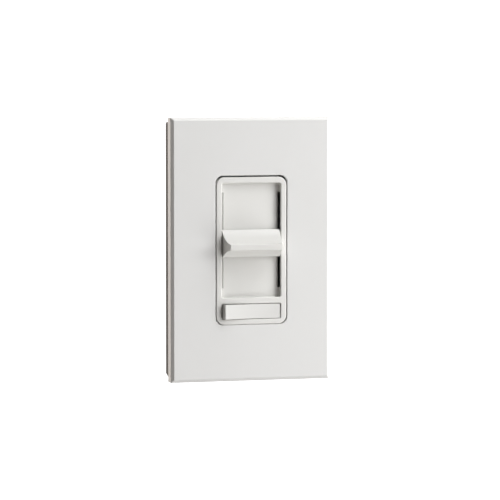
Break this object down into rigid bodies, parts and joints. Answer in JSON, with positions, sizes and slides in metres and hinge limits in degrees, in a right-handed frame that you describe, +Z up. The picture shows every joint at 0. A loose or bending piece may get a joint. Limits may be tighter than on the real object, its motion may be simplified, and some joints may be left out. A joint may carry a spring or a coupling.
{
  "type": "slide dimmer switch",
  "caption": "Wall-box slide dimmer: screwless bevelled cover plate, framed window with a wedge slide bar, a small left-right rocker below, and a rear circuit housing.",
  "frame": {"origin": "centre of the two box screws, on the wall's surface", "axes": "+Z up along the line of the screws, +Y into the wall, +X to the right seen from the room"},
  "size_m": [0.075, 0.0476, 0.119],
  "materials": {
    "plate_white": "smooth satin gloss, bright white",
    "device_white": "fine satin moulding, slightly warm white",
    "adapter_grey": "plain moulded dark warm grey",
    "strap_metal": "rolled sheet, lightly brushed",
    "screw_steel": "zinc plated",
    "housing_black": "fine spark texture, near black",
    "insulator_fibre": "thin grey-brown fibre sheet",
    "case_steel": "tin plated sheet",
    "track_board": "brown laminate with dark printed tracks",
    "tin_pins": "tinned pins and leads",
    "board_green": "green solder mask",
    "device_epoxy": "black moulded epoxy with a tinned tab",
    "rivet_aluminium": "bright drawn",
    "ferrite": "coated powder core, yellow-green",
    "enamel_wire": "enamelled copper wire",
    "capacitor_film": "dipped red-brown lacquer",
    "resistor_lacquer": "beige lacquer with plain bands",
    "diac_glass": "orange-brown glass bead",
    "brass": "stamped strip, slightly dull",
    "silver": "silver alloy contact",
    "ground_green": "green dyed steel screw",
    "carriage_grey": "natural acetal, pale grey",
    "spring_steel": "hardened strip and wire",
    "wiper_black": "black acetal with spring blades"
  },
  "bodies": {
    "base": {"wall_plate": "plate_white", "plate_adapter": "adapter_grey", "adapter_screws": "screw_steel", "bezel_frame": "device_white", "mounting_strap": "strap_metal", "box_screws": "screw_steel", "rear_housing": "housing_black", "housing_screws": "screw_steel", "insulating_sheet": "insulator_fibre", "pot_cover": "case_steel", "pot_track": "track_board", "pot_terminals": "tin_pins", "circuit_board": "board_green", "triac": "device_epoxy", "triac_rivet": "rivet_aluminium", "choke_core": "ferrite", "choke_winding": "enamel_wire", "film_capacitors": "capacitor_film", "resistors": "resistor_lacquer", "trigger_diac": "diac_glass", "line_terminal": "brass", "load_terminal": "brass", "common_terminal": "brass", "fixed_contact": "silver", "contact_pivot_pin": "screw_steel", "terminal_screws": "brass", "ground_screw": "ground_green"},
    "slider": {"slider_knob": "device_white", "slider_carriage": "carriage_grey", "carriage_springs": "spring_steel", "pot_lever": "case_steel", "pot_wiper": "wiper_black"},
    "rocker": {"rocker_button": "device_white", "rocker_plunger": "carriage_grey", "plunger_spring": "spring_steel"},
    "contact_arm": {"contact_arm": "brass", "moving_contact": "silver"}
  },
  "joints": [
    {"name": "slider_slide", "type": "slide", "parent": "base", "child": "slider", "axis": [0, 0, 1], "range_m": [-0.0156, 0.0185]},
    {"name": "rocker_tilt", "type": "hinge", "parent": "base", "child": "rocker", "pos_m": [0, -0.0076, -0.0274], "axis": [0, 0, 1], "range_deg": [-10.8, 0]},
    {"name": "arm_swing", "type": "hinge", "parent": "base", "child": "contact_arm", "pos_m": [0, 0.0096, -0.0274], "axis": [0, 0, 1], "range_deg": [0, 12]}
  ],
  "couplings": [
    {"joint": "arm_swing", "follows": "rocker_tilt", "ratio": -1.1111}
  ]
}
